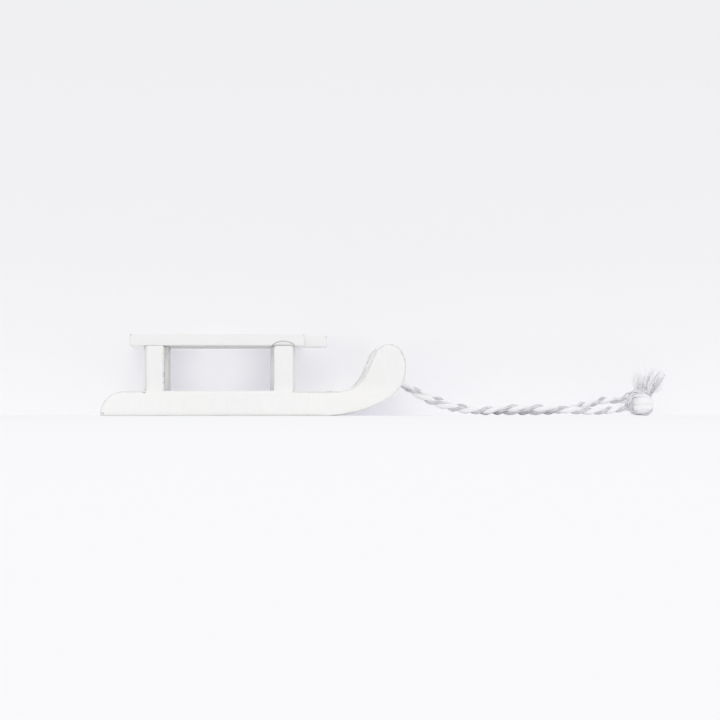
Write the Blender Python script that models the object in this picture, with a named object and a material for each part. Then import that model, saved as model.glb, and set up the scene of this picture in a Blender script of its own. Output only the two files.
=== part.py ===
"""A small painted wooden craft sled with a pull cord of twine.

Two sawn side frames, each a runner with an upturned curl and two posts in one board, are joined by two upright
bolsters and a round crossbar. Three slats lie on top as the seat. The cord is a doubled twine, hitched round the
crossbar and knotted at its end. Metres; +X is forward, +Y the sled's left, +Z up, and the floor is at Z = 0.
"""

import math

import bmesh
import bpy
from mathutils import Vector

# Gap that touching pieces keep, where paint and glue sit in the real sled
SEAT = 0.0003
# Radius of the sanded edges, and the faces across it
EASE = 0.00025
EASE_STEPS = 2

# Whole sled, without its cord
LENGTH = 0.080
WIDTH = 0.032

# Side frame: runner, tail and curl
BOARD = 0.0055
RUNNER_HEIGHT = 0.0064
SOLE_RADIUS = 0.033
NOSE_RADIUS = 0.0092
NOSE_LIFT = 0.0034
TIP_RADIUS = 0.0039
TIP_LEAN = math.radians(26)
THROAT_RADIUS = 0.0086
NECK_SLOPE = math.radians(66.5)

# Posts, placed by their middle from the tail
POST_WIDTH = 0.0048
POST_HEIGHT = 0.0118
REAR_POST_FROM_TAIL = 0.01425
FRONT_POST_FROM_TAIL = 0.04785
SHOULDER_RADIUS = 0.0007

# Bolsters, each behind a pair of posts. The front one has a crown on top, let into the slats, that runs on over
# the posts and ends a little inside the frames' outer faces
BOLSTER_LENGTH = 0.0062
BOLSTER_LIFT = 0.0004
CROWN_RISE = 0.0012
CROWN_RECESS = 0.0005

# Seat slats: how far they run past the posts, and how far the middle one runs past the others in front
SLAT_THICKNESS = 0.0028
SLAT_GAP = 0.0019
SEAT_PAST_REAR_POST = 0.00415
SEAT_PAST_FRONT_POST = 0.0030
MIDDLE_SLAT_REACH = 0.0062

# Crossbar, placed from the middle of the nose's round
CROSSBAR_DIAMETER = 0.0040
CROSSBAR_AHEAD = 0.0036
CROSSBAR_BELOW = 0.0009
SOCKET_DEPTH = 0.0020
SOCKET_CLEARANCE = 0.0001

# Pull cord
CORD_DIAMETER = 0.0020
CORD_STEP = 0.0041
HITCH_STEP = 0.0016
LAYER_GAP = 0.00015

# Knot and tassel
KNOT_SIZE = Vector((0.0074, 0.0058, 0.0068))
KNOT_ABOVE_FLOOR = 0.00003
TASSEL_LENGTH = 0.0052
TASSEL_ROOT = 0.0034
TASSEL_SPREAD = 0.0072
TASSEL_RISE = math.radians(70)

# What follows from the sizes above
TAIL_X = -LENGTH / 2
REAR_POST_X = TAIL_X + REAR_POST_FROM_TAIL
FRONT_POST_X = TAIL_X + FRONT_POST_FROM_TAIL
POST_TOP = RUNNER_HEIGHT + POST_HEIGHT
SEAT_UNDERSIDE = POST_TOP + SEAT
SLAT_WIDTH = (WIDTH - 2 * SLAT_GAP) / 3
CROWN_RADIUS = ((BOLSTER_LENGTH / 2) ** 2 + CROWN_RISE**2) / (2 * CROWN_RISE)
CROWN_CENTRE = Vector((FRONT_POST_X, POST_TOP + CROWN_RISE - CROWN_RADIUS))
INNER_FACE = WIDTH / 2 - BOARD
NOSE_X = LENGTH / 2 - NOSE_RADIUS
NOSE_Z = NOSE_LIFT + NOSE_RADIUS
CROSSBAR_X = NOSE_X + CROSSBAR_AHEAD
CROSSBAR_Z = NOSE_Z - CROSSBAR_BELOW
CORD_RADIUS = CORD_DIAMETER / 2


def clear_scene():
    for obj in list(bpy.data.objects):
        bpy.data.objects.remove(obj, do_unlink=True)


def material(name, colour, roughness):
    made = bpy.data.materials.new(name)
    made.use_nodes = True
    shader = made.node_tree.nodes["Principled BSDF"]
    shader.inputs["Base Color"].default_value = (*colour, 1)
    shader.inputs["Roughness"].default_value = roughness
    shader.inputs["Metallic"].default_value = 0
    return made


def add_object(name, data, finish):
    data.materials.append(finish)
    obj = bpy.data.objects.new(name, data)
    bpy.context.scene.collection.objects.link(obj)
    return obj


def arc(centre, radius, start, end, steps):
    """Points of an arc from angle start to angle end, both ends included."""
    turns = (start + (end - start) * step / steps for step in range(steps + 1))
    return [(centre[0] + radius * math.cos(a), centre[1] + radius * math.sin(a)) for a in turns]


def board(name, outline, low_y, high_y, finish, ease=EASE):
    """A board sawn to an outline in X and Z, from low_y to high_y, with the edges of both faces sanded round."""
    bm = bmesh.new()
    near = bm.faces.new([bm.verts.new((x, low_y, z)) for x, z in outline])
    made = bmesh.ops.extrude_face_region(bm, geom=[near])["geom"]
    far_points = [part for part in made if isinstance(part, bmesh.types.BMVert)]
    bmesh.ops.translate(bm, verts=far_points, vec=(0, high_y - low_y, 0))
    bmesh.ops.recalc_face_normals(bm, faces=bm.faces)
    rims = [edge for edge in bm.edges if abs(edge.verts[0].co.y - edge.verts[1].co.y) < BOARD / 100]
    if ease:
        bmesh.ops.bevel(bm, geom=rims, offset=ease, segments=EASE_STEPS, profile=0.5, affect="EDGES")
    mesh = bpy.data.meshes.new(name)
    bm.to_mesh(mesh)
    bm.free()
    return add_object(name, mesh, finish)


def crown_arc(clearance, above):
    """The crown's arc, or its seat in the slats a clearance outside it, where it is higher than above: from the back
    to the front."""
    radius = CROWN_RADIUS + clearance
    foot = math.asin((above - CROWN_CENTRE.y) / radius)
    return arc(CROWN_CENTRE, radius, math.pi - foot, foot, 12)


def curl_outline():
    """The runner's front, from where the sole leaves the floor, over the tip, to the runner's top."""
    nose = Vector((NOSE_X, NOSE_Z))
    tip = nose + (NOSE_RADIUS - TIP_RADIUS) * Vector((math.cos(TIP_LEAN), math.sin(TIP_LEAN)))
    sole_rise = SOLE_RADIUS - NOSE_Z
    sole = Vector((NOSE_X - math.sqrt((SOLE_RADIUS - NOSE_RADIUS) ** 2 - sole_rise**2), SOLE_RADIUS))
    sole_end = math.atan2(nose.y - sole.y, nose.x - sole.x)
    throat_z = RUNNER_HEIGHT + THROAT_RADIUS
    apart = THROAT_RADIUS + TIP_RADIUS
    throat_back = (apart + (tip.y - throat_z) * math.cos(NECK_SLOPE)) / math.sin(NECK_SLOPE)
    throat = Vector((tip.x - throat_back, throat_z))
    quarter = math.pi / 2
    points = arc(sole, SOLE_RADIUS, -quarter, sole_end, 10)
    points += arc(nose, NOSE_RADIUS, sole_end, TIP_LEAN, 12)[1:]
    points += arc(tip, TIP_RADIUS, TIP_LEAN, NECK_SLOPE + quarter, 14)[1:]
    points += arc(throat, THROAT_RADIUS, NECK_SLOPE - quarter, -quarter, 10)
    return points


def post_outline(middle):
    """A post's front, rounded shoulders and back, from the runner up and down again."""
    back, front = middle - POST_WIDTH / 2, middle + POST_WIDTH / 2
    shoulder_z = POST_TOP - SHOULDER_RADIUS
    points = [(front, RUNNER_HEIGHT)]
    points += arc((front - SHOULDER_RADIUS, shoulder_z), SHOULDER_RADIUS, 0, math.pi / 2, 4)
    points += arc((back + SHOULDER_RADIUS, shoulder_z), SHOULDER_RADIUS, math.pi / 2, math.pi, 4)
    points.append((back, RUNNER_HEIGHT))
    return points


def frame_outline():
    """The side frame's outline, anticlockwise seen from the sled's right side, from the tail's foot."""
    tail = arc((TAIL_X + RUNNER_HEIGHT, 0), RUNNER_HEIGHT, math.pi / 2, math.pi, 10)
    return curl_outline() + post_outline(FRONT_POST_X) + post_outline(REAR_POST_X) + tail


def cylinder(name, radius, low_y, high_y, finish, sides=32):
    """A round bar across the sled at the crossbar's place."""
    bm = bmesh.new()
    bmesh.ops.create_cone(
        bm, cap_ends=True, segments=sides, radius1=radius, radius2=radius, depth=high_y - low_y
    )
    mesh = bpy.data.meshes.new(name)
    bm.to_mesh(mesh)
    bm.free()
    obj = add_object(name, mesh, finish)
    obj.rotation_euler.x = math.pi / 2
    obj.location = (CROSSBAR_X, (low_y + high_y) / 2, CROSSBAR_Z)
    return obj


def side_frame(name, side, paint):
    """One side frame, with a blind socket for the crossbar in its inner face. side is -1 for right, 1 for left."""
    low_y, high_y = sorted((side * INNER_FACE, side * WIDTH / 2))
    frame = board(name, frame_outline(), low_y, high_y, paint)
    socket_y = sorted((side * (INNER_FACE - SEAT), side * (INNER_FACE + SOCKET_DEPTH)))
    radius = CROSSBAR_DIAMETER / 2 + SOCKET_CLEARANCE
    cutter = cylinder(name + "_socket", radius, socket_y[0], socket_y[1], paint)
    cutter.hide_render = True
    cutter.display_type = "WIRE"
    cut = frame.modifiers.new("Crossbar socket", "BOOLEAN")
    cut.object = cutter
    cut.operation = "DIFFERENCE"


def bolster_outline(middle, top):
    """An upright crosspiece's outline, a little longer fore and aft than the posts beside it, under its top's points."""
    back, front = middle - BOLSTER_LENGTH / 2, middle + BOLSTER_LENGTH / 2
    return [(front, BOLSTER_LIFT), *reversed(top), (back, BOLSTER_LIFT)]


def bolsters(paint):
    """The rear bolster, flat on top, and the front one with its crown, which runs on over the posts as a cap."""
    end_y = INNER_FACE - SEAT
    flat = [(REAR_POST_X - BOLSTER_LENGTH / 2, POST_TOP), (REAR_POST_X + BOLSTER_LENGTH / 2, POST_TOP)]
    board("bolster_rear", bolster_outline(REAR_POST_X, flat), -end_y, end_y, paint)
    front = board(
        "bolster_front", bolster_outline(FRONT_POST_X, crown_arc(0, POST_TOP)), -end_y, end_y, paint, 0
    )
    cap_y = WIDTH / 2 - CROWN_RECESS
    cap = board("bolster_front_cap", crown_arc(0, SEAT_UNDERSIDE), -cap_y, cap_y, paint, 0)
    cap.hide_render = True
    cap.display_type = "WIRE"
    join = front.modifiers.new("Cap over the posts", "BOOLEAN")
    join.object = cap
    join.operation = "UNION"


def seat_slat(name, middle_y, reach, paint):
    """A slat along the sled, notched underneath for the front bolster's crown. reach is how far it runs past the
    front post."""
    back = REAR_POST_X - POST_WIDTH / 2 - SEAT_PAST_REAR_POST
    front = FRONT_POST_X + POST_WIDTH / 2 + reach
    top = SEAT_UNDERSIDE + SLAT_THICKNESS
    notch = crown_arc(SEAT, SEAT_UNDERSIDE)
    outline = [(back, SEAT_UNDERSIDE), *notch, (front, SEAT_UNDERSIDE), (front, top), (back, top)]
    board(name, outline, middle_y - SLAT_WIDTH / 2, middle_y + SLAT_WIDTH / 2, paint)


def crossbar(paint):
    """The round bar between the curls, its ends in the frames' sockets."""
    reach = INNER_FACE + SOCKET_DEPTH - SEAT
    cylinder("front_crossbar", CROSSBAR_DIAMETER / 2, -reach, reach, paint)


def hitch_points(side):
    """The strand's turn round the crossbar: from the bight in front, under, behind and over the bar, and down."""
    inner = CROSSBAR_DIAMETER / 2 + CORD_RADIUS + SEAT
    outer = inner + CORD_DIAMETER + LAYER_GAP
    lane = CORD_RADIUS + LAYER_GAP
    far_lane = lane + CORD_DIAMETER + LAYER_GAP
    # Each row: angle round the bar from straight ahead, distance from its axis, distance from the middle
    turns = [
        (10, outer, SEAT),
        (10, outer, lane + CORD_RADIUS / 2),
        (-10, outer - CORD_RADIUS / 3, far_lane - CORD_RADIUS / 3),
        (-40, inner + CORD_RADIUS / 3, far_lane),
    ]
    for angle in range(-75, -316, -30):
        share = (-75 - angle) / 240
        turns.append((angle, inner, far_lane + (lane - far_lane) * share))
    turns.append((-345, inner, lane))
    points = []
    for angle, reach, off in turns:
        turn = math.radians(angle)
        points.append(
            Vector((CROSSBAR_X + reach * math.cos(turn), side * off, CROSSBAR_Z + reach * math.sin(turn)))
        )
    return points


# The free cord's route down to the floor and along it in a curve to the right, as the middle of the pair in X, Y
# and Z and half of the distance between the two strands, in millimetres, and how far the pair is turned about its
# own line, in degrees. The strands lie side by side, the left one a little higher near the sled and at the knot,
# and the right one between
CORD_ROUTE = [
    (39.0, 0.0, 9.6, 1.15, 0),
    (43.4, -0.3, 6.5, 1.15, 14),
    (48.8, -1.6, 3.9, 1.2, 24),
    (54.6, -3.8, 2.15, 1.2, 14),
    (60.4, -6.4, 1.35, 1.2, 0),
    (66.6, -8.9, 1.55, 1.2, -16),
    (73.2, -10.3, 1.65, 1.2, -22),
    (80.0, -10.2, 1.6, 1.45, -8),
    (87.0, -8.3, 1.9, 2.2, 15),
    (94.0, -5.2, 2.75, 2.5, 33),
]
KNOT_PLACE = Vector((0.1044, -0.0012, KNOT_SIZE.z / 2 + KNOT_ABOVE_FLOOR))
# Which way each strand meets the knot, seen from the knot's middle: one high and one low
KNOT_ENTRY = {1: Vector((-1, 0.1, 0.2)), -1: Vector((-1, -0.45, -0.3))}


def smooth_curve(points, step):
    """Points about one step apart on a smooth curve through the given points."""
    fine = []
    for i in range(len(points) - 1):
        before = points[max(i - 1, 0)]
        start, end = points[i], points[i + 1]
        after = points[min(i + 2, len(points) - 1)]
        leave, arrive = (end - before) / 2, (after - start) / 2
        for part in range(24):
            t = part / 24
            fine.append(
                start * (2 * t**3 - 3 * t**2 + 1)
                + leave * (t**3 - 2 * t**2 + t)
                + end * (3 * t**2 - 2 * t**3)
                + arrive * (t**3 - t**2)
            )
    fine.append(points[-1])
    length = sum((b - a).length for a, b in zip(fine, fine[1:]))
    spacing = length / max(1, round(length / step))
    kept, walked = [fine[0]], 0.0
    for a, b in zip(fine, fine[1:]):
        walked += (b - a).length
        if walked >= spacing:
            kept.append(b)
            walked -= spacing
    if (kept[-1] - fine[-1]).length < spacing / 2:
        kept.pop()
    kept.append(fine[-1])
    return kept


def beside_knot(way):
    """The point a seat's gap off the knot, in the direction of the unit vector way from its middle."""
    half = KNOT_SIZE / 2
    reach = 1 / math.sqrt(sum((way[i] / half[i]) ** 2 for i in range(3)))
    return KNOT_PLACE + way * (reach + SEAT)


def cord_strand(name, side, twine):
    """One strand of the doubled cord, as a plain tube from the bight on the crossbar to the knot."""
    hitch = hitch_points(side)
    route = []
    for x, y, z, apart, turn in CORD_ROUTE:
        off = side * apart * Vector((0, math.cos(math.radians(turn)), math.sin(math.radians(turn))))
        route.append((Vector((x, y, z)) + off) / 1000)
    route.append(beside_knot(KNOT_ENTRY[side].normalized()))
    joined = smooth_curve(hitch + route, HITCH_STEP / 4)
    free_from = min(range(len(joined)), key=lambda i: (joined[i] - route[1]).length)
    points = smooth_curve(joined[: free_from + 1], HITCH_STEP)
    points += smooth_curve(joined[free_from:], CORD_STEP)[1:]
    curve = bpy.data.curves.new(name, "CURVE")
    curve.dimensions = "3D"
    curve.bevel_depth = CORD_RADIUS
    curve.bevel_resolution = 2
    curve.use_fill_caps = True
    spline = curve.splines.new("POLY")
    spline.points.add(len(points) - 1)
    for point, place in zip(spline.points, points):
        point.co = (*place, 1)
    add_object(name, curve, twine)


def cord_knot(twine):
    """The knot, as the rounded lump that its turns fill."""
    bm = bmesh.new()
    bmesh.ops.create_icosphere(bm, subdivisions=3, radius=0.5)
    bmesh.ops.scale(bm, vec=KNOT_SIZE, verts=bm.verts)
    mesh = bpy.data.meshes.new("cord_knot")
    bm.to_mesh(mesh)
    bm.free()
    knot = add_object("cord_knot", mesh, twine)
    knot.location = KNOT_PLACE


def cord_tassel(twine):
    """The frayed ends, as the cone that they fan out in, up and forward from the knot."""
    bm = bmesh.new()
    bmesh.ops.create_cone(
        bm,
        cap_ends=True,
        segments=16,
        radius1=TASSEL_ROOT / 2,
        radius2=TASSEL_SPREAD / 2,
        depth=TASSEL_LENGTH,
    )
    mesh = bpy.data.meshes.new("cord_tassel")
    bm.to_mesh(mesh)
    bm.free()
    tassel = add_object("cord_tassel", mesh, twine)
    way = Vector((math.cos(TASSEL_RISE), 0, math.sin(TASSEL_RISE)))
    tassel.rotation_euler.y = math.pi / 2 - TASSEL_RISE
    tassel.location = beside_knot(way) + way * TASSEL_LENGTH / 2


def build():
    clear_scene()
    paint = material("White painted wood", (0.88, 0.87, 0.85), 0.6)
    twine = material("Grey and white twine", (0.62, 0.60, 0.58), 0.9)
    side_frame("side_frame_right", -1, paint)
    side_frame("side_frame_left", 1, paint)
    bolsters(paint)
    slat_pitch = SLAT_WIDTH + SLAT_GAP
    seat_slat("seat_slat_right", -slat_pitch, SEAT_PAST_FRONT_POST, paint)
    seat_slat("seat_slat_middle", 0, SEAT_PAST_FRONT_POST + MIDDLE_SLAT_REACH, paint)
    seat_slat("seat_slat_left", slat_pitch, SEAT_PAST_FRONT_POST, paint)
    crossbar(paint)
    cord_strand("pull_cord_right", -1, twine)
    cord_strand("pull_cord_left", 1, twine)
    cord_knot(twine)
    cord_tassel(twine)


build()
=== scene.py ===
"""The finish of a small white-painted wooden sled with a doubled twine as its pull cord.

Metres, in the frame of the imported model: +X is forward, +Y the sled's left, +Z up, and the floor is at Z = 0.
The sections follow the sled as it is put together: camera, cord, knot, tassel, frames, bolsters, slats and
crossbar, then the floor, the wall behind it and the lamps.
"""

import math

import bmesh
import bpy
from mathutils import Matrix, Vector, noise


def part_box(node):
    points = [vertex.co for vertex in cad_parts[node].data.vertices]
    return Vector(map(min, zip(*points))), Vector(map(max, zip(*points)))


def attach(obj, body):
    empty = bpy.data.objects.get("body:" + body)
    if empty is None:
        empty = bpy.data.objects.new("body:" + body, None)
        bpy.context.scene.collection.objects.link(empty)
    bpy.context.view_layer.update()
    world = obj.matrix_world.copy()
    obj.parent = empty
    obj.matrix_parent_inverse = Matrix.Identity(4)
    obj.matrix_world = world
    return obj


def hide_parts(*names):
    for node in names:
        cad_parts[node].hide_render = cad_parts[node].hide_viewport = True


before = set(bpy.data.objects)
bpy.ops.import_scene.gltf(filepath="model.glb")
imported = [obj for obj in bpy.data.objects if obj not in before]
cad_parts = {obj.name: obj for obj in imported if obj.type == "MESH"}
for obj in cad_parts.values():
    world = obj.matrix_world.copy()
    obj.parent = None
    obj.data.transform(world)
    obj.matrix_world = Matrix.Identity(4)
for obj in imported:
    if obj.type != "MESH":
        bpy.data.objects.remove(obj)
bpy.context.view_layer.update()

# The camera stands on the floor, square to the sled's right side, and looks along +Y past the sled's rear
# half. The forward side of the rear bolster and the rear side of the front one show between the posts.
NEAR_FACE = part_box("side_frame_right")[0].y
CAMERA_PLACE = Vector((-0.0006, NEAR_FACE - 0.600, 0.0005))
CAMERA_AIM = Vector((0.0279, NEAR_FACE, 0.0146))
LENS_MM = 114.5
SENSOR_MM = 36

camera_data = bpy.data.cameras.new("camera")
camera_data.lens = LENS_MM
camera_data.sensor_width = SENSOR_MM
camera_data.clip_start = 0.0005
camera_data.clip_end = 20
camera = bpy.data.objects.new("camera", camera_data)
camera.location = CAMERA_PLACE
camera.rotation_euler = (CAMERA_AIM - CAMERA_PLACE).to_track_quat("-Z", "Y").to_euler()
bpy.context.scene.collection.objects.link(camera)
bpy.context.scene.camera = camera


# The pull cord is one length of soft two-ply twine, one ply grey and one white, doubled. Its bight lies in
# front of the crossbar, and its strands go under, behind and over the bar, then down to the floor and side
# by side to the knot. One node tree sweeps both plies round a strand's line.
class Wire:
    """A socket in a node tree. Arithmetic on it adds Math nodes, and node() adds any other kind of node."""

    def __init__(self, tree, socket=None):
        self.tree = tree
        self.socket = socket

    def node(self, kind, settings=None, sockets=None, out=0):
        """One output of a new node, whose settings are set before its sockets get their values or links."""
        made = self.tree.nodes.new(kind)
        for name, value in (settings or {}).items():
            if name == "stops":
                for place, colour in value[2:]:
                    made.color_ramp.elements.new(place)
                for stop, (place, colour) in zip(made.color_ramp.elements, value):
                    stop.position = place
                    stop.color = (*colour, 1)
            else:
                setattr(made, name, value)
        for name, value in (sockets or {}).items():
            for part in value if isinstance(value, list) else [value]:
                if isinstance(part, Wire):
                    self.tree.links.new(part.socket, made.inputs[name])
                else:
                    made.inputs[name].default_value = part
        return Wire(self.tree, made.outputs[out] if made.outputs else None)

    def also(self, out):
        """Another output of the node that this socket is on."""
        return Wire(self.tree, self.socket.node.outputs[out])

    def math(self, operation, *values):
        return self.node("ShaderNodeMath", {"operation": operation}, dict(enumerate(values)))

    def __add__(self, other):
        return self.math("ADD", self, other)

    def __sub__(self, other):
        return self.math("SUBTRACT", self, other)

    def __rsub__(self, other):
        return self.math("SUBTRACT", other, self)

    def __mul__(self, other):
        return self.math("MULTIPLY", self, other)

    def __truediv__(self, other):
        return self.math("DIVIDE", self, other)

    __radd__ = __add__


def new_material(name):
    """A new empty material, and the wire that its nodes are made from."""
    made = bpy.data.materials.new(name)
    made.use_nodes = True
    made.node_tree.nodes.clear()
    return made, Wire(made.node_tree)


def scaled(wire, direction, amount):
    """A vector socket times a number or a wire."""
    return wire.node("ShaderNodeVectorMath", {"operation": "SCALE"}, {0: direction, "Scale": amount})


def carried(wire, name, kind="FLOAT"):
    """What the points of a geometry carry under a name."""
    return wire.node("GeometryNodeInputNamedAttribute", {"data_type": kind}, {"Name": name})


def stored(wire, geometry, name, value, kind="FLOAT"):
    """The geometry whose points carry a value under a name."""
    return wire.node("GeometryNodeStoreNamedAttribute", {"data_type": kind, "domain": "POINT"}, {
        "Geometry": geometry, "Name": name, "Value": value,
    })


def chance(wire, low, high, seed):
    """A random number from low to high for each point."""
    return wire.node("FunctionNodeRandomValue", {"data_type": "FLOAT"}, {
        2: low, 3: high, "Seed": seed,
    }, out=1)


def geometry_tree(name, inputs):
    """A new geometry node tree and its named inputs as wires."""
    tree = bpy.data.node_groups.new(name, "GeometryNodeTree")
    tree.interface.new_socket("Geometry", in_out="OUTPUT", socket_type="NodeSocketGeometry")
    tree.interface.new_socket("Geometry", in_out="INPUT", socket_type="NodeSocketGeometry")
    for label, kind in inputs.items():
        tree.interface.new_socket(label, in_out="INPUT", socket_type="NodeSocket" + kind)
    entry = tree.nodes.new("NodeGroupInput")
    return tree, {socket.name: Wire(tree, socket) for socket in entry.outputs if socket.name}


def grown(name, points, edges, tree, values, attributes):
    """The plain mesh object that a node tree makes from points and edges, laid on the floor where it would
    dip below it. attributes maps a name to its kind and one value for each point."""
    source = bpy.data.meshes.new(name + "_line")
    source.from_pydata(points, edges, [])
    for label, (kind, numbers) in attributes.items():
        layer = source.attributes.new(label, kind, "POINT")
        for item, number in zip(layer.data, numbers):
            setattr(item, "vector" if kind == "FLOAT_VECTOR" else "value", number)
    carrier = bpy.data.objects.new(name + "_line", source)
    bpy.context.scene.collection.objects.link(carrier)
    modifier = carrier.modifiers.new(tree.name, "NODES")
    modifier.node_group = tree
    for item in tree.interface.items_tree:
        if item.in_out == "INPUT" and item.name in values:
            modifier[item.identifier] = values[item.name]
    carrier.update_tag()
    graph = bpy.context.evaluated_depsgraph_get()
    finished = carrier.evaluated_get(graph)
    mesh = bpy.data.meshes.new_from_object(finished, preserve_all_data_layers=True, depsgraph=graph)
    mesh.name = name
    for vert in mesh.vertices:
        vert.co.z = max(vert.co.z, 0)
    bpy.data.objects.remove(carrier, do_unlink=True)
    grown_object = bpy.data.objects.new(name, mesh)
    bpy.context.scene.collection.objects.link(grown_object)
    return grown_object


PLY_SIDES = 18
# A loose fibre is made one unit long: its sides, its radius, its lean off the ply in radians, and the share
# of the full length that the shortest one has
LOOSE_SIDES = 3
LOOSE_RADIUS = 0.022
LOOSE_LEAN = 1.1
LOOSE_SHORTEST = 0.4


def twine_tree():
    """Sweeps a white and a grey ply round the lines it gets, each with a few yarns, and adds loose fibres.
    The lines' points carry the twist's pitch, the angle that it starts from and how far each ply swells."""
    tree, given = geometry_tree("Two-ply twine", {
        "Step": "Float",
        "White Width": "Float",
        "White Offset": "Float",
        "Grey Width": "Float",
        "Grey Offset": "Float",
        "Yarns": "Int",
        "Yarn Pitch": "Float",
        "Groove": "Float",
        "Fibres": "Float",
        "Fibre Length": "Float",
        "Pattern Place": "Float",
        "White": "Material",
        "Grey": "Material",
    })
    start = Wire(tree)
    line = start.node("GeometryNodeMeshToCurve", sockets={"Mesh": given["Geometry"]})
    line = start.node(
        "GeometryNodeResampleCurve", {"mode": "LENGTH"}, {"Curve": line, "Length": given["Step"]}
    )
    line = start.node("GeometryNodeSetCurveNormal", {"mode": "MINIMUM_TWIST"}, {"Curve": line})
    along = start.node("GeometryNodeSplineParameter", out=1)
    pitch = carried(start, "pitch")
    first_angle = carried(start, "first_angle")
    normal = start.node("GeometryNodeInputNormal")
    tangent = start.node("GeometryNodeInputTangent")
    sideways = start.node("ShaderNodeVectorMath", {"operation": "CROSS_PRODUCT"}, {0: tangent, 1: normal})
    angle = start.node("GeometryNodeSplineParameter") * math.tau
    plies = []
    for half_turn, finish in ((0, "White"), (math.pi, "Grey")):
        width = given[finish + " Width"]
        off = given[finish + " Offset"]
        ring = start.node("GeometryNodeCurvePrimitiveCircle", sockets={
            "Resolution": PLY_SIDES, "Radius": width / 2,
        })
        ring = stored(start, ring, "angle", angle)
        turn = along / pitch * math.tau + first_angle + half_turn
        outward = scaled(start, normal, turn.math("COSINE", turn) * off)
        across = scaled(start, sideways, turn.math("SINE", turn) * off)
        offset = start.node("ShaderNodeVectorMath", {"operation": "ADD"}, {0: outward, 1: across})
        ply = stored(start, line, "along", along + given["Pattern Place"] + half_turn)
        ply = start.node("GeometryNodeSetPosition", sockets={"Geometry": ply, "Offset": offset})
        ply = start.node("GeometryNodeCurveToMesh", sockets={
            "Curve": ply, "Profile Curve": ring, "Scale": carried(start, finish.lower()), "Fill Caps": True,
        })
        down_it = carried(start, "along")
        yarn = carried(start, "angle") - down_it / given["Yarn Pitch"] * math.tau
        groove = 1 - start.math("ABSOLUTE", start.math("SINE", yarn * given["Yarns"] / 2))
        surface = start.node("GeometryNodeInputNormal")
        ply = start.node("GeometryNodeSetPosition", sockets={
            "Geometry": ply, "Offset": scaled(start, surface, groove * groove * given["Groove"] * -1),
        })
        pattern = start.node("ShaderNodeCombineXYZ", sockets={
            "X": start.math("COSINE", yarn), "Y": start.math("SINE", yarn), "Z": down_it / width,
        })
        ply = stored(start, ply, "yarn", pattern, "FLOAT_VECTOR")
        ply = stored(start, ply, "groove", groove)
        ply = start.node("GeometryNodeSetMaterial", sockets={"Geometry": ply, "Material": given[finish]})
        plies.append(ply)
    twine = start.node("GeometryNodeJoinGeometry", sockets={"Geometry": plies})
    scatter = start.node("GeometryNodeDistributePointsOnFaces", sockets={
        "Mesh": twine, "Density": given["Fibres"], "Seed": 7,
    })
    fibre = start.node("GeometryNodeCurvePrimitiveBezierSegment", sockets={
        "Resolution": 6,
        "Start": (0, 0, -0.1),
        "Start Handle": (0, 0, 0.3),
        "End Handle": (0.2, 0.1, 0.5),
        "End": (0.55, 0.1, 0.75),
    })
    fibre_ring = start.node("GeometryNodeCurvePrimitiveCircle", sockets={
        "Resolution": LOOSE_SIDES, "Radius": LOOSE_RADIUS,
    })
    fibre = start.node("GeometryNodeCurveToMesh", sockets={"Curve": fibre, "Profile Curve": fibre_ring})
    tilt = start.node("FunctionNodeRandomValue", {"data_type": "FLOAT_VECTOR"}, {
        0: (-LOOSE_LEAN, -LOOSE_LEAN, 0.0), 1: (LOOSE_LEAN, LOOSE_LEAN, math.tau), "Seed": 3,
    })
    length = chance(start, LOOSE_SHORTEST, 1.0, 5) * given["Fibre Length"]
    turned = start.node("FunctionNodeRotateRotation", {"rotation_space": "LOCAL"}, {
        "Rotation": scatter.also(2),
        "Rotate By": start.node("FunctionNodeEulerToRotation", sockets={"Euler": tilt}),
    })
    fibres = start.node("GeometryNodeInstanceOnPoints", sockets={
        "Points": scatter,
        "Instance": fibre,
        "Rotation": turned,
        "Scale": start.node("ShaderNodeCombineXYZ", sockets={name: length for name in "XYZ"}),
    })
    fibres = start.node("GeometryNodeRealizeInstances", sockets={"Geometry": fibres})
    fibres = start.node("GeometryNodeSetMaterial", sockets={"Geometry": fibres, "Material": given["White"]})
    whole = start.node("GeometryNodeJoinGeometry", sockets={"Geometry": [twine, fibres]})
    whole = start.node("GeometryNodeSetShadeSmooth", sockets={"Geometry": whole, "Shade Smooth": True})
    start.node("NodeGroupOutput", sockets={"Geometry": whole})
    return tree


# How many fibres lie round a yarn and along it, by the yarn's width, and how deep they are
FIBRE_COUNT = (4.2, 4.2, 0.75)
FIBRE_RELIEF = 0.00006


def ply_material(name, dark, middle, light, groove_shade, contrast, fleck=0.3):
    """Cotton fibres of three tones that run along the yarns of a ply, with painted shade in the grooves between
    them. The lower fleck is, the rarer the dark tone."""
    made, wire = new_material(name)
    yarn = wire.node("ShaderNodeAttribute", {"attribute_name": "yarn"}, out=1)
    groove = wire.node("ShaderNodeAttribute", {"attribute_name": "groove"}, out=2)
    stretched = wire.node("ShaderNodeVectorMath", {"operation": "MULTIPLY"}, {0: yarn, 1: FIBRE_COUNT})
    fibres = wire.node("ShaderNodeTexNoise", sockets={
        "Vector": stretched, "Scale": 1.0, "Detail": 3.0, "Roughness": 0.6,
    })
    spread = (fibres - 0.5) * contrast + 0.5
    tones = wire.node(
        "ShaderNodeValToRGB", {"stops": [(fleck, dark), (0.5, middle), (0.72, light)]}, {"Fac": spread}
    )
    bump = wire.node("ShaderNodeBump", sockets={"Strength": 0.5, "Distance": FIBRE_RELIEF, "Height": fibres})
    # The base colour is darkened in the grooves between the yarns, as painted shade
    shader = wire.node("ShaderNodeBsdfPrincipled", sockets={
        "Base Color": scaled(wire, tones, 1 - groove * groove * groove_shade),
        "Roughness": 0.9,
        "Specular IOR Level": 0.2,
        "Sheen Weight": 0.25,
        "Normal": bump,
    })
    wire.node("ShaderNodeOutputMaterial", sockets={"Surface": shader})
    return made


FINE_PARTS = 24


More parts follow.
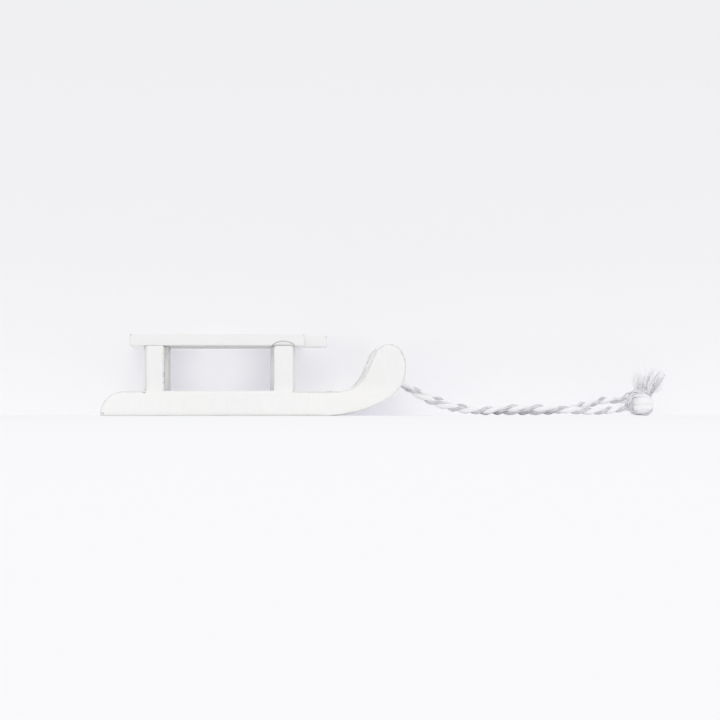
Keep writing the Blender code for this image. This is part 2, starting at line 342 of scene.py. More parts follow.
def smooth_line(points, step):
    """Points about one step apart on a smooth curve through the given points."""
    fine = []
    for i in range(len(points) - 1):
        before = points[max(i - 1, 0)]
        start, end = points[i], points[i + 1]
        after = points[min(i + 2, len(points) - 1)]
        leave, arrive = (end - before) / 2, (after - start) / 2
        for part in range(FINE_PARTS):
            t = part / FINE_PARTS
            fine.append(
                start * (2 * t**3 - 3 * t**2 + 1)
                + leave * (t**3 - 2 * t**2 + t)
                + end * (3 * t**2 - 2 * t**3)
                + arrive * (t**3 - t**2)
            )
    fine.append(points[-1])
    length = sum((b - a).length for a, b in zip(fine, fine[1:]))
    spacing = length / max(1, round(length / step))
    kept, walked = [fine[0]], 0.0
    for a, b in zip(fine, fine[1:]):
        walked += (b - a).length
        if walked >= spacing:
            kept.append(b)
            walked -= spacing
    kept[-1] = fine[-1]
    return kept


CORD_DIAMETER = 0.0020
LAYER_GAP = 0.00015
SEAT = 0.0003
STRAND_STEP = 0.0004
bar_low, bar_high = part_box("front_crossbar")
BAR_MIDDLE = (bar_low + bar_high) / 2
BAR_RADIUS = (bar_high.z - bar_low.z) / 2
# The lap behind the bar, in degrees round it from straight ahead
LAP_START = -75
LAP_END = -315
LAP_STEP = 30
# Middle of the pair in X, Y and Z and half the distance between the strands, in millimetres, and how far the
# pair is turned about its own line, in degrees
CORD_ROUTE = [
    (39.0, 0.0, 9.6, 1.15, 0),
    (43.4, -0.3, 6.5, 1.15, 14),
    (48.8, -1.6, 3.9, 1.2, 24),
    (54.6, -3.8, 2.15, 1.2, 14),
    (60.4, -6.4, 1.35, 1.2, 0),
    (66.6, -8.9, 1.55, 1.2, -16),
    (73.2, -10.3, 1.65, 1.2, -22),
    (80.0, -10.2, 1.6, 1.45, -8),
    (87.0, -8.3, 1.9, 2.2, 15),
    (94.0, -5.2, 2.75, 2.5, 33),
]
knot_low, knot_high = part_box("cord_knot")
KNOT_MIDDLE = (knot_low + knot_high) / 2
KNOT_HALF = (knot_high - knot_low) / 2
# The direction in which each strand enters the knot's solid, seen from its middle
KNOT_ENTRY = {1: Vector((-1, 0.1, 0.2)), -1: Vector((-1, -0.45, -0.3))}


def hitch_line(side):
    """The strand's turn round the crossbar: from the bight in front, under, behind and over the bar, and
    down. side is -1 for the right strand and 1 for the left one."""
    radius = CORD_DIAMETER / 2
    inner = BAR_RADIUS + radius + SEAT
    outer = inner + CORD_DIAMETER + LAYER_GAP
    lane = radius + LAYER_GAP
    far_lane = lane + CORD_DIAMETER + LAYER_GAP
    # Each row: angle round the bar from straight ahead, distance from its axis, distance from the middle
    turns = [
        (10, outer, SEAT),
        (10, outer, lane + radius / 2),
        (-10, outer - radius / 3, far_lane - radius / 3),
        (-40, inner + radius / 3, far_lane),
    ]
    for angle in range(LAP_START, LAP_END - 1, -LAP_STEP):
        inward = (lane - far_lane) * (LAP_START - angle) / (LAP_START - LAP_END)
        turns.append((angle, inner, far_lane + inward))
    turns.append((LAP_END - LAP_STEP, inner, lane))
    line = []
    for degrees, reach, off in turns:
        angle = math.radians(degrees)
        line.append(BAR_MIDDLE + Vector((reach * math.cos(angle), side * off, reach * math.sin(angle))))
    return line


def knot_side(way):
    """The point a seat's gap off the knot's solid, in the direction way from its middle."""
    way = way.normalized()
    reach = 1 / math.sqrt(sum((way[i] / KNOT_HALF[i]) ** 2 for i in range(3)))
    return KNOT_MIDDLE + way * (reach + SEAT)


def strand_line(side):
    """The whole line of a strand, from the bight to the knot."""
    route = []
    for x, y, z, apart, turn in CORD_ROUTE:
        off = side * apart * Vector((0, math.cos(math.radians(turn)), math.sin(math.radians(turn))))
        route.append((Vector((x, y, z)) + off) / 1000)
    return smooth_line(hitch_line(side) + route + [knot_side(KNOT_ENTRY[side])], STRAND_STEP)


TWINE = {
    "Step": 0.00022,
    "White Width": 0.0014,
    "White Offset": 0.00037,
    "Grey Width": 0.00094,
    "Grey Offset": 0.00058,
    "Yarns": 4,
    "Yarn Pitch": 0.011,
    "Groove": 0.00006,
    "Fibres": 1.4e5,
    "Fibre Length": 0.0009,
    "White": ply_material(
        "white cotton ply", (0.91, 0.91, 0.92), (0.965, 0.965, 0.97), (0.98, 0.98, 0.98), 0.05, 1.0
    ),
    "Grey": ply_material(
        "grey cotton ply", (0.34, 0.33, 0.36), (0.74, 0.73, 0.76), (0.90, 0.895, 0.92), 0.12, 1.9, 0.2
    ),
}
# A negative pitch turns the plies to the left, as in this twine
TWIST_PITCH = -0.0068
twine = twine_tree()


def twined(name, lines, pattern):
    """Twine along each line. A line is its points, the pitch of its twist, the angle that the twist starts
    from, and how far its white and grey plies swell. pattern shifts the fibres' pattern along the twine."""
    points, edges = [], []
    layers = {label: ("FLOAT", []) for label in ("pitch", "first_angle", "white", "grey")}
    for line, *numbers in lines:
        edges += [(i, i + 1) for i in range(len(points), len(points) + len(line) - 1)]
        points += line
        for (kind, layer), number in zip(layers.values(), numbers):
            layer += [number] * len(line)
    return grown(name, points, edges, twine, {**TWINE, "Pattern Place": pattern}, layers)


strands = []
for side, node, first_angle in ((-1, "pull_cord_right", 0.4), (1, "pull_cord_left", 2.2)):
    line = strand_line(side)
    strand = twined(node + "_twine", [(line, TWIST_PITCH, first_angle, 1, 1)], side * 0.5)
    strands.append((strand, line, node))


# The knot is tied in both strands at once and pulled tight. Its body is one turn of the pair round the core,
# where the twist opens and the white plies lie outside. The near strand climbs the knot's back end and
# crosses over its top, the far one crosses behind it, and a thin grey turn shows below.
TURNS_MIDDLE = KNOT_MIDDLE + Vector((-0.0006, 0, 0))
OPEN_PITCH = -0.030
WRAP_STEP = 0.0002
# The body's middle and half its size, in millimetres from the middle of the turns
BODY_MIDDLE = Vector((0.78, 0.0, -0.55))
BODY_REACH = Vector((1.6, 1.2, 0.90))
# A body turn in degrees, and how far and how fast its ends are tucked in and its strands pinched together
TURN_STEPS = 60
TURN_START = 80
TURN_SWEEP = 380
TUCK = 0.6
TUCK_PACE = 9
PINCH = 0.2


def body_turn(level):
    """A turn round the knot's core. level is -1 for the low strand and 1 for the high one."""
    points = []
    for step in range(TURN_STEPS + 1):
        share = step / TURN_STEPS
        angle = math.radians(TURN_START + TURN_SWEEP * share)
        tuck = 1 - TUCK * max(0, 1 - TUCK_PACE * min(share, 1 - share)) ** 2
        height = level * (1 - PINCH * math.cos(angle) ** 2)
        around = Vector((tuck * math.cos(angle), tuck * math.sin(angle), height))
        points.append(TURNS_MIDDLE + (BODY_MIDDLE + around * BODY_REACH) / 1000)
    return points


def wrap(route):
    """A smooth line through places given in millimetres from the middle of the turns."""
    return smooth_line([TURNS_MIDDLE + Vector(point) / 1000 for point in route], WRAP_STEP)


NEAR_WRAP = [
    (-2.9, -1.6, -1.6), (-2.85, -2.1, -0.4), (-2.75, -2.2, 0.8), (-2.3, -2.0, 1.9), (-1.1, -1.7, 2.5),
    (0.5, -1.4, 2.55), (2.0, -1.0, 2.2), (3.0, 0.2, 1.5), (2.7, 1.2, 0.5), (1.6, 1.0, -0.5),
]
FAR_WRAP = [
    (-3.1, 1.0, 0.9), (-2.5, 1.6, 1.7), (-1.2, 1.8, 2.3), (0.6, 1.7, 2.4), (2.0, 1.2, 1.8), (2.2, 0.3, 0.7),
]
LOW_LIP = [
    (0.9, -1.9, -2.5), (1.4, -2.2, -2.65), (2.0, -2.2, -2.55), (2.5, -2.05, -2.2), (2.9, -1.75, -1.75),
    (3.1, -1.2, -1.4),
]
# Each row: line, pitch of the twist, the angle it starts from, and how far the white and grey plies swell
KNOT_LINES = [
    (body_turn(-1), OPEN_PITCH, 1.57, 2.15, 1),
    (body_turn(1), OPEN_PITCH, 1.57, 2.15, 1),
    (wrap(NEAR_WRAP), OPEN_PITCH, 5.14, 1, 1.5),
    (wrap(FAR_WRAP), OPEN_PITCH, 0.5, 1.2, 1.2),
    (wrap(LOW_LIP), OPEN_PITCH, 4.71, 0.4, 0.6),
]
knot = twined("knot_turns", KNOT_LINES, 2.0)


# The tassel is the frayed ends of the plies above the knot, each ply a bundle of fibres that fans out its own
# way. Two short ends stick out below. One node tree sets curved fibres on each bundle's root.
TASSEL_SIDES = 5
TASSEL_TAPER = 0.55
TASSEL_SHORTEST = 0.62


def tassel_tree():
    """Fans fibres out from each root, which carries its bundle's direction, length and share of white
    fibres."""
    tree, given = geometry_tree("Frayed ends", {
        "Fibres": "Int",
        "Root Radius": "Float",
        "Fan": "Float",
        "Thinness": "Float",
        "Bend": "Float",
        "Finish": "Material",
    })
    start = Wire(tree)
    away = start.node("FunctionNodeRandomValue", {"data_type": "FLOAT_VECTOR"}, {
        0: (-1, -1, -1), 1: (1, 1, 1), "Seed": 4,
    })
    roots = start.node("GeometryNodeMeshToPoints", sockets={"Mesh": given["Geometry"]})
    roots = start.node("GeometryNodeDuplicateElements", {"domain": "POINT"}, {
        "Geometry": roots, "Amount": given["Fibres"],
    })
    roots = start.node("GeometryNodeSetPosition", sockets={
        "Geometry": roots, "Offset": scaled(start, away, given["Root Radius"]),
    })
    is_white = start.math("LESS_THAN", chance(start, 0.0, 1.0, 6), carried(start, "white"))
    roots = stored(start, roots, "tone", is_white)
    aim = start.node("ShaderNodeVectorMath", {"operation": "ADD"}, {
        0: carried(start, "aim", "FLOAT_VECTOR"), 1: scaled(start, away, given["Fan"]),
    })
    turned = start.node("FunctionNodeRotateRotation", {"rotation_space": "LOCAL"}, {
        "Rotation": start.node("FunctionNodeAlignRotationToVector", {"axis": "Z"}, {"Vector": aim}),
        "Rotate By": start.node("FunctionNodeAxisAngleToRotation", sockets={
            "Axis": (0, 0, 1), "Angle": chance(start, 0.0, math.tau, 9),
        }),
    })
    fibre = start.node("GeometryNodeCurvePrimitiveBezierSegment", sockets={
        "Resolution": 9,
        "Start": (0, 0, -0.1),
        "Start Handle": (0, 0, 0.35),
        "End Handle": (0.02, 0, 0.65),
        "End": (0.14, 0.02, 1.0),
    })
    share = start.node("GeometryNodeSplineParameter")
    fibre = start.node("GeometryNodeCurveToMesh", sockets={
        "Curve": stored(start, fibre, "reach", share),
        "Profile Curve": start.node("GeometryNodeCurvePrimitiveCircle", sockets={
            "Resolution": TASSEL_SIDES, "Radius": given["Thinness"],
        }),
        "Scale": 1 - share * TASSEL_TAPER,
        "Fill Caps": True,
    })
    length = chance(start, TASSEL_SHORTEST, 1.0, 20) * carried(start, "length")
    fibres = start.node("GeometryNodeInstanceOnPoints", sockets={
        "Points": roots,
        "Instance": fibre,
        "Rotation": turned,
        "Scale": start.node("ShaderNodeCombineXYZ", sockets={name: length for name in "XYZ"}),
    })
    fibres = start.node("GeometryNodeRealizeInstances", sockets={"Geometry": fibres})
    wave = start.node("ShaderNodeTexNoise", sockets={
        "Vector": start.node("GeometryNodeInputPosition"), "Scale": 520.0, "Detail": 1.0,
    }, out=1)
    wave = start.node("ShaderNodeVectorMath", {"operation": "SUBTRACT"}, {0: wave, 1: (0.5, 0.5, 0.5)})
    bend = carried(start, "reach") * carried(start, "length") * given["Bend"]
    fibres = start.node("GeometryNodeSetPosition", sockets={
        "Geometry": fibres, "Offset": scaled(start, wave, bend),
    })
    fibres = start.node("GeometryNodeSetMaterial", sockets={"Geometry": fibres, "Material": given["Finish"]})
    fibres = start.node("GeometryNodeSetShadeSmooth", sockets={"Geometry": fibres, "Shade Smooth": True})
    start.node("NodeGroupOutput", sockets={"Geometry": fibres})
    return tree


def fibre_material(name, grey, white):
    """Loose fibres, each grey or white by its own tone. grey and white are a dark and a light colour each."""
    made, wire = new_material(name)
    place = wire.node("ShaderNodeTexCoord", out=3)
    noisy = wire.node("ShaderNodeTexNoise", sockets={"Vector": place, "Scale": 1800.0, "Detail": 1.0})
    grey_tones, white_tones = [
        wire.node("ShaderNodeValToRGB", {"stops": [(0.38, dark), (0.62, light)]}, {"Fac": noisy})
        for dark, light in (grey, white)
    ]
    tone = wire.node("ShaderNodeAttribute", {"attribute_name": "tone"}, out=2)
    colour = wire.node("ShaderNodeMix", {"data_type": "RGBA"}, {
        0: tone, 6: grey_tones, 7: white_tones,
    }, out=2)
    shader = wire.node("ShaderNodeBsdfPrincipled", sockets={
        "Base Color": colour,
        "Roughness": 0.9,
        "Specular IOR Level": 0.2,
        "Sheen Weight": 0.2,
    })
    wire.node("ShaderNodeOutputMaterial", sockets={"Surface": shader})
    return made


# Each row: root and direction in X, Y and Z, the root in millimetres from the knot's middle, then the
# bundle's length in millimetres and its share of white fibres
BUNDLES = [
    ((-1.1, -0.4, 3.0), (0.0, 0.1, 1.0), 6.0, 0.95),
    ((0.1, -0.8, 3.0), (-0.04, -0.1, 1.0), 5.2, 0.2),
    ((1.3, 0.3, 3.0), (0.31, 0.15, 0.95), 7.0, 0.5),
    ((2.5, -0.6, 2.8), (0.48, -0.1, 0.87), 7.0, 0.15),
    ((2.9, 0.3, 2.6), (0.81, 0.15, 0.59), 4.5, 0.6),
    ((-2.0, -1.9, -2.2), (-0.1, -0.95, -0.1), 2.6, 0.1),
    ((0.5, -2.1, -2.3), (0.1, -1.0, -0.05), 2.2, 1.0),
]
TASSEL = {
    "Fibres": 27,
    "Root Radius": 0.00055,
    "Fan": 0.13,
    "Thinness": 0.010,
    "Bend": 0.35,
    "Finish": fibre_material(
        "loose fibres",
        ((0.56, 0.55, 0.58), (0.83, 0.82, 0.85)),
        ((0.94, 0.94, 0.95), (0.975, 0.975, 0.98)),
    ),
}
tassel = grown(
    "tassel_fibres", [KNOT_MIDDLE + Vector(root) / 1000 for root, aim, length, white in BUNDLES], [],
    tassel_tree(), TASSEL,
    {
        "aim": ("FLOAT_VECTOR", [aim for root, aim, length, white in BUNDLES]),
        "length": ("FLOAT", [length / 1000 for root, aim, length, white in BUNDLES]),
        "white": ("FLOAT", [white for root, aim, length, white in BUNDLES]),
    },
)
for piece, nodes, finish in ((knot, ["cord_knot"], "twine"), (tassel, ["cord_tassel"], "frayed_twine")):
    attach(piece, "root")
    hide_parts(*nodes)
for strand, line, node in strands:
    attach(strand, "root")
    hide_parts(node)
    length = sum((b - a).length for a, b in zip(line, line[1:]))


# Each side frame is one sawn board: runner, curl and two posts. Its edges are sanded round by hand, so they
# wander a little, and it is brushed with matt white paint that shows the grain and the brush marks.
CELL = 0.0012
PAINT = 0.00014
EASE = 0.0004
EDGE_ANGLE = math.radians(35)
SAME_PLACE = 0.000004
SAME_PLANE = math.radians(0.5)
CUT_REACH = 1e-7
FLAT_WEIGHT = 90
# The surface wanders by a slow and a quick noise: their waves to a metre, the quick one's share, and the seed
# that makes both the same in each run
SLOW_WAVES = 140
QUICK_WAVES = 600
QUICK_SHARE = 0.3
WANDER_SEED = 1
noise.seed_set(WANDER_SEED)


def dressed(name, node, place, wander, is_free=lambda middle: False):
    """A finished copy of a CAD node: the sharp edges whose middle is free are eased and marked, for the paint
    to darken as painted shade and rubbed paint. The faces are cut into small cells whose corners wander a
    little, and all stands out by the paint's thickness, which closes most of the seats between the pieces.
    place shifts the noise, so that no two are alike."""
    shape = bmesh.new()
    shape.from_mesh(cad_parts[node].data)
    bmesh.ops.remove_doubles(shape, verts=shape.verts, dist=SAME_PLACE)
    bmesh.ops.dissolve_limit(shape, angle_limit=SAME_PLANE, verts=shape.verts, edges=shape.edges)
    # The eased edges are marked for the paint, which darkens them as painted shade and rubbed paint
    rubbed = shape.verts.layers.float.new("rubbed")
    free = [
        edge for edge in shape.edges
        if edge.calc_face_angle(0) > EDGE_ANGLE and is_free((edge.verts[0].co + edge.verts[1].co) / 2)
    ]
    eased = bmesh.ops.bevel(
        shape, geom=free, offset=EASE, offset_type="OFFSET", segments=2, profile=0.5, affect="EDGES",
        clamp_overlap=False,
    )
    strip = set(eased["faces"])
    for vert in eased["verts"]:
        vert[rubbed] = float(all(face in strip for face in vert.link_faces))
    low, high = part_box(node)
    for axis in range(3):
        across = Vector((0, 0, 0))
        across[axis] = 1
        cells = max(1, round((high[axis] - low[axis]) / CELL))
        for cell in range(1, cells):
            cut = low + (high - low) * cell / cells
            parts = shape.verts[:] + shape.edges[:] + shape.faces[:]
            bmesh.ops.bisect_plane(shape, geom=parts, dist=CUT_REACH, plane_co=cut, plane_no=across)
    shape.normal_update()
    outward = [vert.normal.copy() for vert in shape.verts]
    for vert, way in zip(shape.verts, outward):
        slow = noise.noise_vector(vert.co * SLOW_WAVES + place)
        quick = noise.noise_vector(vert.co * QUICK_WAVES + place)
        vert.co += way * PAINT + slow * wander + quick * wander * QUICK_SHARE
        vert.co.z = max(vert.co.z, 0)
    mesh = bpy.data.meshes.new(name)
    shape.to_mesh(mesh)
    shape.free()
    mesh.shade_smooth()
    piece = bpy.data.objects.new(name, mesh)
    bpy.context.scene.collection.objects.link(piece)
    weighted = piece.modifiers.new("Flat faces stay flat", "WEIGHTED_NORMAL")
    weighted.weight = FLAT_WEIGHT
    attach(piece, "root")
    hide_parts(node)
    return piece


def limited(value):
    """The value of a wire, held between 0 and 1."""
    return value.math("MINIMUM", value.math("MAXIMUM", value, 0.0), 1.0)


def faded(value, start, end, first, last):
    """A number that goes smoothly from first to last while the value of a wire goes from start to end."""
    return value.node("ShaderNodeMapRange", {"interpolation_type": "SMOOTHSTEP"}, {
        0: value, 1: start, 2: end, 3: first, 4: last,
    })


# Painted light: a lighter white for faces that the sled's own shade darkens, and for the bolsters
PAINTED_LIGHT_WHITE = (0.970, 0.965, 0.960)
# Painted light: the lighter white ends in front of the seat, and the lighter lowest millimetres fade out
# between these two heights
SEAT_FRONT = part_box("seat_slat_middle")[1].x
COVER_FADE = 0.006
LIGHTER_BELOW = 0.0055
PLAIN_ABOVE = 0.0095
# How far the grain, the brush marks, the specks, the eased edges and the chips on them darken the paint;
# the eased edges' darkening is partly painted shade and partly rubbed paint
GRAIN_TONE = 0.05
BRUSH_TONE = 0.06
SPECK_TONE = 0.25
EDGE_SHADE_AND_RUB_TONE = 0.2
CHIP_TONE = 0.3
# The sizes of tinted patches, specks and chips, how rare specks and chips are, and how sharp their borders
PATCH_SIZE = 0.009
SPECK_SIZE = 0.00028
CHIP_SIZE = 0.0011
SPECK_RARITY = 0.74
CHIP_RARITY = 0.6
BORDER = 9
# The white of the cool and of the warm patches, as factors of the paint's own
COOL = (1.0, 1.0, 1.03)
WARM = (1.006, 1.0, 0.98)


def painted_wood(name, along, brushed, place, white, painted_light_facing, low=1.0, relief=0.00005, shaded_ends=0.0):
    """Brushed white paint on wood. along and brushed are how far the grain and the brush marks stretch in
    each direction, in metres, and relief is how deep they are. Behind the seat's front, faces turned the given
    way are painted in a lighter white, as painted light where the sled's own shade falls. The eased edges that
    look up or sideways are darker, partly painted shade and partly rubbed paint with chips. The lowest few
    millimetres are lighter by the factor low, as painted light. The faces that look along Y are darker by the
    factor given for them, as painted shade."""
    made, wire = new_material(name)
    position = wire.node("ShaderNodeTexCoord", out=3)
    normal = position.also(1)
    facing = wire.node("ShaderNodeVectorMath", {"operation": "DOT_PRODUCT"}, {0: normal, 1: painted_light_facing}, out=1)
    height = wire.node("ShaderNodeSeparateXYZ", sockets={0: position}, out=2)
    # Painted light: behind the seat's front, faces turned the given way take the lighter white
    covered = faded(height.also(0), SEAT_FRONT, SEAT_FRONT + COVER_FADE, 1.0, 0.0)
    painted_light_mask = covered * limited(facing)
    upward = wire.node("ShaderNodeSeparateXYZ", sockets={0: normal}, out=2)
    # Painted shade along the eased edges that look up or sideways, partly rubbed paint, with chips of worn
    # paint
    edge = wire.node("ShaderNodeAttribute", {"attribute_name": "rubbed"}, out=2)
    edge_shade_and_rub = edge * wire.node("ShaderNodeMapRange", sockets={0: upward, 1: -0.5, 2: 0.0, 3: 0.0, 4: 1.0})

    def streaks(stretch, detail, shift):
        mapped = wire.node("ShaderNodeMapping", sockets={
            "Vector": position, "Location": place + shift, "Scale": tuple(1 / size for size in stretch),
        })
        return wire.node("ShaderNodeTexNoise", sockets={
            "Vector": mapped, "Scale": 1.0, "Detail": detail, "Roughness": 0.55,
        })

    def spots(size, detail, shift):
        return streaks((size, size, size), detail, shift)

    grain = streaks(along, 4.0, Vector((0, 0, 0)))
    brush = streaks(brushed, 3.0, Vector((9, 4, 2)))
    patches = spots(PATCH_SIZE, 2.0, Vector((3, 8, 1)))
    dots = spots(SPECK_SIZE, 1.0, Vector((5, 5, 5)))
    chips = spots(CHIP_SIZE, 1.0, Vector((7, 1, 6)))
    speck = wire.math("MAXIMUM", (dots - SPECK_RARITY) * BORDER, 0.0)
    chip = limited((chips - CHIP_RARITY) * BORDER)
    cool, warm = [(*(part * factor for part, factor in zip(white, tint)), 1) for tint in (COOL, WARM)]
    pale = wire.node("ShaderNodeMix", {"data_type": "RGBA"}, {0: patches, 6: cool, 7: warm}, out=2)
    # Painted light: the lowest few millimetres are made lighter by the factor low
    pale = scaled(wire, pale, faded(height, LIGHTER_BELOW, PLAIN_ABOVE, low, 1.0))
    pale = wire.node("ShaderNodeMix", {"data_type": "RGBA"}, {0: painted_light_mask, 6: pale, 7: (*PAINTED_LIGHT_WHITE, 1)}, out=2)
    edge_shade_and_wear = edge_shade_and_rub * (EDGE_SHADE_AND_RUB_TONE + chip * CHIP_TONE)
    tone = 1 - (grain - 0.5) * GRAIN_TONE - (brush - 0.5) * BRUSH_TONE - speck * SPECK_TONE - edge_shade_and_wear
    # Painted shade: the faces that look along Y are darkened
    if shaded_ends:
        tone = tone - wire.math("ABSOLUTE", upward.also(1)) * shaded_ends
    raised = grain * 0.6 + brush * 0.7 + dots * 0.25
    bump = wire.node("ShaderNodeBump", sockets={"Strength": 0.6, "Distance": relief, "Height": raised})
    shader = wire.node("ShaderNodeBsdfPrincipled", sockets={
        "Base Color": scaled(wire, pale, tone),
        "Roughness": 0.5 + brush * 0.2,
        "Specular IOR Level": 0.35,
        "Normal": bump,
    })
    wire.node("ShaderNodeOutputMaterial", sockets={"Surface": shader})
    return made


FRAME_GRAIN = (0.009, 0.0016, 0.0008)
FRAME_BRUSH = (0.0007, 0.002, 0.006)
FRAME_WHITE = (0.915, 0.915, 0.893)
# Painted light: how much lighter the frames' lowest few millimetres are painted
LOW_PAINTED_LIGHT = 1.045
SAWN = 0.00005
GLUED_REACH = 0.0005
GLUED = [
    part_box(node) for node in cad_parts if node.startswith(("seat_slat", "bolster", "front_crossbar"))
]


def is_unglued(middle):
    """Whether no slat, bolster or bar covers this place on a frame."""
    return not any(
        all(low[i] - GLUED_REACH < middle[i] < high[i] + GLUED_REACH for i in range(3)) for low, high in GLUED
    )


# Each row: node, noise place, and which way the inner faces look; these are painted lighter, as painted light
for node, place, inward in (
    ("side_frame_right", Vector((3.0, 1.0, 7.0)), 1),
    ("side_frame_left", Vector((8.0, 5.0, 2.0)), -1),
):
    board = dressed(node + "_board", node, place, SAWN, is_unglued)
    board.data.materials.append(painted_wood(
        node + " paint", FRAME_GRAIN, FRAME_BRUSH, place, FRAME_WHITE, (0, inward, 0), LOW_PAINTED_LIGHT
    ))


# The bolsters are upright crosspieces glued between the frames behind the posts. The front one's top is
# crowned, let into the slats, and runs on over the posts. They are planed, as the slats and the bar are, so
# they are flatter than the sawn frames.
PLANED = 0.00002
FLAT = 0.000015
BOLSTER_GRAIN = (0.0010, 0.009, 0.0010)
BOLSTER_BRUSH = (0.004, 0.004, 0.005)
# How far the bolsters' faces that look along Y are darkened, as painted shade
END_FACE_SHADE = 0.08
DOWN = (0, 0, -1)
# The bolsters are all in the lighter white, as painted light in the shade between the frames
for node, place in (("bolster_rear", Vector((2.0, 6.0, 4.0))), ("bolster_front", Vector((6.0, 3.0, 9.0)))):
    bolster = dressed(node + "_block", node, place, PLANED)
    bolster.data.materials.append(painted_wood(
        node + " paint", BOLSTER_GRAIN, BOLSTER_BRUSH, place, PAINTED_LIGHT_WHITE, DOWN, relief=FLAT,
        shaded_ends=END_FACE_SHADE
    ))


# The three slats of the seat lie along the sled on the posts and bolsters. Their grain runs lengthwise, and
# their upper edges are eased.
SLAT_GRAIN = (0.012, 0.0009, 0.0007)
SLAT_BRUSH = (0.007, 0.0007, 0.0007)
SLAT_WHITE = (0.894, 0.896, 0.880)
slat_low, slat_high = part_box("seat_slat_middle")
SLAT_MIDDLE_HEIGHT = (slat_low.z + slat_high.z) / 2


def is_upper(middle):
    """Whether this place on a slat is in its upper half."""
    return middle.z > SLAT_MIDDLE_HEIGHT + EASE


# Each row: node, noise place, and the way of the faces painted lighter, as painted light; the middle slat's
# right side too, where the right slat shades it
for node, place, painted_light_facing in (
    ("seat_slat_right", Vector((1.0, 2.0, 3.0)), DOWN),
    ("seat_slat_middle", Vector((7.0, 7.0, 1.0)), (0, -0.6, -1)),
    ("seat_slat_left", Vector((4.0, 9.0, 6.0)), DOWN),
):
    slat = dressed(node + "_board", node, place, PLANED, is_upper)
    slat.data.materials.append(painted_wood(
        node + " paint", SLAT_GRAIN, SLAT_BRUSH, place, SLAT_WHITE, painted_light_facing, relief=FLAT
    ))


# The crossbar is a round bar glued into blind sockets in the curls, with its grain along it. The cord's hitch
# sits at its middle.
BAR_GRAIN = (0.0007, 0.008, 0.0007)
BAR_BRUSH = (0.0012, 0.004, 0.0012)
BAR_WHITE = (0.905, 0.898, 0.885)
place = Vector((5.0, 1.0, 5.0))
bar = dressed("front_crossbar_bar", "front_crossbar", place, PLANED)
bar.data.materials.append(painted_wood("crossbar paint", BAR_GRAIN, BAR_BRUSH, place, BAR_WHITE, DOWN))


# The floor, and a wall close behind the sled that shows its soft shadow, as pale ground under it would. The
# wall takes light and shadow on its front only. It blocks no light, no other surface sees it, and from behind
# it is clear.
REACH = 3.0
WALL_GAP = 0.0004
wall_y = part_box("side_frame_left")[1].y + WALL_GAP


def panel(name, corners, material):
    """A stage panel of four corners."""
    mesh = bpy.data.meshes.new(name)
    mesh.from_pydata(corners, [], [(0, 1, 2, 3)])
    mesh.materials.append(material)
    made = bpy.data.objects.new(name, mesh)
    bpy.context.scene.collection.objects.link(made)
    return made


floor_paper, wire = new_material("floor paper")
shade = wire.node("ShaderNodeBsdfDiffuse", sockets={"Color": (0.931, 0.931, 0.941, 1)})
wire.node("ShaderNodeOutputMaterial", sockets={"Surface": shade})

# The wall's tone at each height, as a share of the top, where nothing shades it; it is darker towards the
# top, as a painted fall-off of light
TONE_TOP = 0.11
WALL_TONES = [
    (0.0, (0.950, 0.950, 0.966)),
    (0.04, (0.946, 0.946, 0.962)),
    (0.155, (0.923, 0.923, 0.938)),
    (0.275, (0.904, 0.904, 0.919)),
    (0.39, (0.890, 0.890, 0.906)),
    (0.90, (0.867, 0.867, 0.884)),
]
# The share of the tone that comes from the light, less above the seat, so that light bounced off the seat
# shows less there. The rest glows for the camera alone, so that the wall has its tone at these levels of
# light: one on open ground, and one in a patch between the posts. The patch is painted light: there the glow
# lifts the sled's shadow on the wall. The light's share is less blue than the tone, so that the wall's
# shadows turn violet, a painted tint of shade.
LIT_SHARE = (0.65, 0.68, 0.58)
SEAT_LINE = 0.019
SEAT_LINE_END = 0.023
ABOVE_SEAT = 0.4
OPEN_LIGHT = 0.97
PATCH_LIGHT = 0.65
PATCH_CORE = 0.2
PATCH_MIDDLE = (-0.0096, wall_y, 0.0131)
PATCH_REACH = (0.0180, 1.0, 0.0130)

wall_paper, wire = new_material("wall paper")
position = wire.node("ShaderNodeTexCoord", out=3)
height = wire.node("ShaderNodeSeparateXYZ", sockets={0: position}, out=2)
tone = wire.node("ShaderNodeValToRGB", {"stops": WALL_TONES}, {"Fac": height / TONE_TOP})
from_middle = wire.node("ShaderNodeMapping", {"vector_type": "TEXTURE"}, {
    "Vector": position, "Location": PATCH_MIDDLE, "Scale": PATCH_REACH,
})
off_patch = wire.node("ShaderNodeVectorMath", {"operation": "LENGTH"}, {0: from_middle}, out=1)
light = faded(off_patch, PATCH_CORE, 1.0, PATCH_LIGHT, OPEN_LIGHT)
lit_share = scaled(wire, LIT_SHARE, faded(height, SEAT_LINE, SEAT_LINE_END, 1.0, ABOVE_SEAT))
from_light = scaled(wire, lit_share, light)
rest = wire.node("ShaderNodeVectorMath", {"operation": "SUBTRACT"}, {0: tone, 1: from_light})
shade = wire.node("ShaderNodeBsdfDiffuse", sockets={"Color": lit_share})
glow = wire.node("ShaderNodeEmission", sockets={"Color": rest, "Strength": 1.0})
lit = wire.node("ShaderNodeAddShader", sockets={0: shade, 1: glow})
behind = wire.node("ShaderNodeNewGeometry", out=6)
gone = wire.node("ShaderNodeBsdfTransparent", sockets={"Color": (1, 1, 1, 1)})
one_sided = wire.node("ShaderNodeMixShader", sockets={0: behind, 1: lit, 2: gone})
wire.node("ShaderNodeOutputMaterial", sockets={"Surface": one_sided})

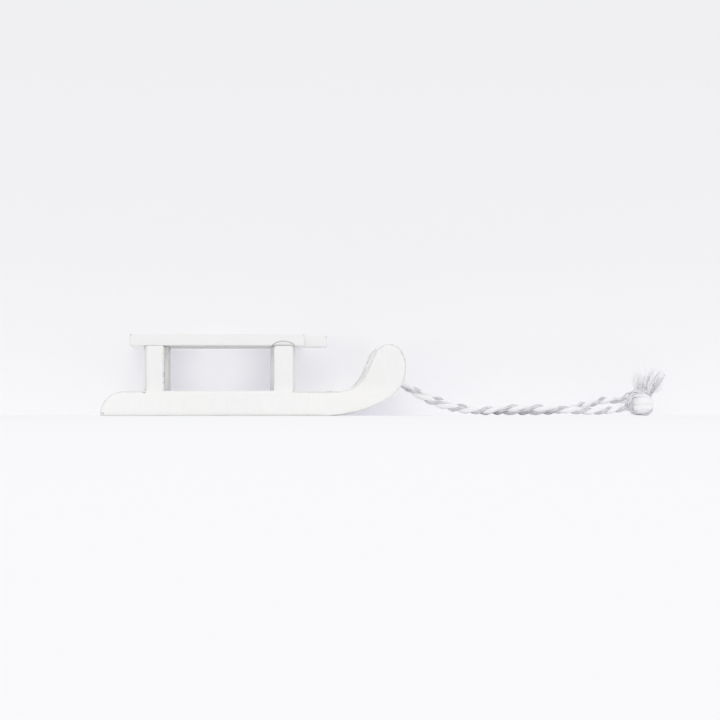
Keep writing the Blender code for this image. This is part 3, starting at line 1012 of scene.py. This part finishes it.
floor = panel(
    "floor", [(-REACH, -REACH, 0), (REACH, -REACH, 0), (REACH, REACH, 0), (-REACH, REACH, 0)], floor_paper
)
wall = panel(
    "wall",
    [(-REACH, wall_y, 0), (REACH, wall_y, 0), (REACH, wall_y, REACH), (-REACH, wall_y, REACH)],
    wall_paper,
)
wall.visible_shadow = False
wall.visible_diffuse = False
wall.visible_glossy = False


# The light: a plain pale sky from all round, and large soft lamps before, behind and above the sled. The
# camera and mirrored rays see the sky in the tone of the wall's top.
world = bpy.data.worlds.new("soft sky")
world.use_nodes = True
world.node_tree.nodes.clear()
wire = Wire(world.node_tree)
sky = wire.node("ShaderNodeBackground", sockets={"Color": (0.985, 0.985, 1.0, 1), "Strength": 0.82})
seen = wire.node("ShaderNodeBackground", sockets={"Color": (0.867, 0.867, 0.884, 1), "Strength": 1.0})
camera_ray = wire.node("ShaderNodeLightPath", out="Is Camera Ray")
mirrored = wire.math("MAXIMUM", camera_ray.also("Is Glossy Ray"), camera_ray.also("Is Transmission Ray"))
sees_backdrop = wire.math("MAXIMUM", camera_ray, mirrored)
either = wire.node("ShaderNodeMixShader", sockets={0: sees_backdrop, 1: sky, 2: seen})
wire.node("ShaderNodeOutputWorld", sockets={"Surface": either})
bpy.context.scene.world = world

SLED_MIDDLE = Vector((0.03, 0, 0.01))
LAMP_SIZE = 0.9
# Each row: name, place, and power in watts
for name, place, power in (
    ("front lamp", (0.02, -1.60, 1.00), 5.0),
    ("rear lamp", (0.02, 1.60, 1.00), 3.5),
    ("top lamp", (0.02, 0.0, 1.50), 1.1),
):
    lamp_data = bpy.data.lights.new(name, "AREA")
    lamp_data.shape = "SQUARE"
    lamp_data.size = LAMP_SIZE
    lamp_data.energy = power
    lamp = bpy.data.objects.new(name, lamp_data)
    lamp.location = place
    lamp.rotation_euler = (SLED_MIDDLE - Vector(place)).to_track_quat("-Z", "Y").to_euler()
    lamp.visible_camera = False
    bpy.context.scene.collection.objects.link(lamp)

bpy.context.scene.view_settings.view_transform = "Standard"
